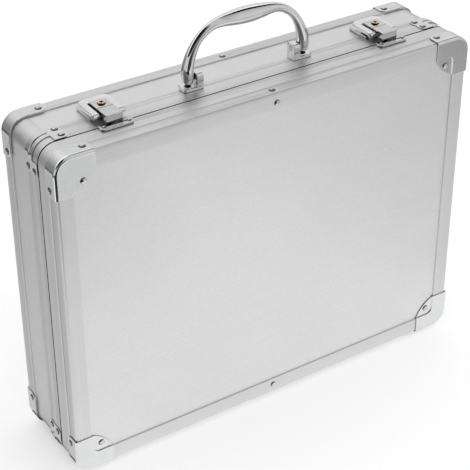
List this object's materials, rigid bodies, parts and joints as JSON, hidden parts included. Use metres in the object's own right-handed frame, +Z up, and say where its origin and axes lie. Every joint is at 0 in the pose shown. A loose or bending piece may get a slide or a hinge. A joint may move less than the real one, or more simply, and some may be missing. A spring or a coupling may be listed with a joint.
{
  "type": "attache case",
  "caption": "Slim rectangular aluminium case with chromed corner caps, arched swinging handle, lever latches with key locks, and a lid hinged along the bottom edge.",
  "frame": {"origin": "on the ground, under the middle of the closed case, which stands on its feet on the hinge side", "axes": "+X along the case's length, +Y from the lid at the front to the back, +Z up towards the handle"},
  "size_m": [0.4294, 0.0976, 0.3905],
  "materials": {
    "rail_aluminium": "satin anodised extrusion",
    "panel_aluminium": "finely embossed satin sheet",
    "chrome": "polished plating",
    "steel": "plain plated steel",
    "brass": "turned brass",
    "foot_rubber": "matte black",
    "lining_cloth": "dark woven lining on thin board"
  },
  "bodies": {
    "case": {"rim_rail_top": "rail_aluminium", "back_rail_top": "rail_aluminium", "body_panel_top": "panel_aluminium", "rim_rail_bottom": "rail_aluminium", "back_rail_bottom": "rail_aluminium", "body_panel_bottom": "panel_aluminium", "rim_rail_left": "rail_aluminium", "back_rail_left": "rail_aluminium", "body_panel_left": "panel_aluminium", "rim_rail_right": "rail_aluminium", "back_rail_right": "rail_aluminium", "body_panel_right": "panel_aluminium", "back_cap_top_right": "chrome", "back_cap_top_left": "chrome", "back_cap_bottom_right": "chrome", "back_cap_bottom_left": "chrome", "back_panel": "panel_aluminium", "body_corner_posts": "rail_aluminium", "rim_caps": "chrome", "back_cap_rivets": "chrome", "rim_cap_rivets": "chrome", "back_rail_rivets": "chrome", "handle_bracket_left": "chrome", "handle_bracket_right": "chrome", "bracket_rivets": "chrome", "latch_base_left": "chrome", "latch_base_right": "chrome", "handle_pins": "steel", "latch_pins": "steel", "latch_screws": "steel", "body_hinge_leaves": "steel", "hinge_pins": "steel", "body_hinge_rivets": "steel", "feet": "foot_rubber", "body_lining": "lining_cloth"},
    "lid": {"lid_rail_top": "rail_aluminium", "lid_rail_bottom": "rail_aluminium", "lid_rail_left": "rail_aluminium", "lid_rail_right": "rail_aluminium", "lid_cap_top_right": "chrome", "lid_cap_top_left": "chrome", "lid_cap_bottom_right": "chrome", "lid_cap_bottom_left": "chrome", "lid_panel": "panel_aluminium", "lid_corner_posts": "rail_aluminium", "lid_cap_rivets": "chrome", "lid_rail_rivets": "chrome", "strike_left": "chrome", "strike_right": "chrome", "strike_rivets": "chrome", "lid_hinge_leaves": "steel", "lid_hinge_rivets": "steel", "lid_lining": "lining_cloth"},
    "handle": {"handle": "chrome"},
    "lever_left": {"lever_left": "chrome"},
    "lever_right": {"lever_right": "chrome"},
    "hook_left": {"hook_left": "chrome"},
    "hook_right": {"hook_right": "chrome"},
    "lock_plug_left": {"lock_plug_left": "brass"},
    "lock_plug_right": {"lock_plug_right": "brass"}
  },
  "joints": [
    {"name": "lid_hinge", "type": "hinge", "parent": "case", "child": "lid", "pos_m": [0, -0.0185, 0.0034], "axis": [1, 0, 0], "range_deg": [0, 95]},
    {"name": "handle_swing", "type": "hinge", "parent": "case", "child": "handle", "pos_m": [0, 0.0004, 0.3395], "axis": [1, 0, 0], "range_deg": [-85, 85]},
    {"name": "lever_lift_left", "type": "hinge", "parent": "case", "child": "lever_left", "pos_m": [-0.142, -0.0094, 0.3344], "axis": [1, 0, 0], "range_deg": [0, 95]},
    {"name": "hook_pivot_left", "type": "hinge", "parent": "lever_left", "child": "hook_left", "pos_m": [-0.142, -0.00675, 0.3349], "axis": [1, 0, 0], "range_deg": [-95, 0]},
    {"name": "lock_turn_left", "type": "hinge", "parent": "case", "child": "lock_plug_left", "pos_m": [-0.142, 0.0017, 0.339], "axis": [0, 0, 1], "range_deg": [0, 90]},
    {"name": "lever_lift_right", "type": "hinge", "parent": "case", "child": "lever_right", "pos_m": [0.142, -0.0094, 0.3344], "axis": [1, 0, 0], "range_deg": [0, 95]},
    {"name": "hook_pivot_right", "type": "hinge", "parent": "lever_right", "child": "hook_right", "pos_m": [0.142, -0.00675, 0.3349], "axis": [1, 0, 0], "range_deg": [-95, 0]},
    {"name": "lock_turn_right", "type": "hinge", "parent": "case", "child": "lock_plug_right", "pos_m": [0.142, 0.0017, 0.339], "axis": [0, 0, 1], "range_deg": [0, 90]}
  ],
  "couplings": [
    {"joint": "hook_pivot_left", "follows": "lever_lift_left", "ratio": -1},
    {"joint": "hook_pivot_right", "follows": "lever_lift_right", "ratio": -1}
  ]
}
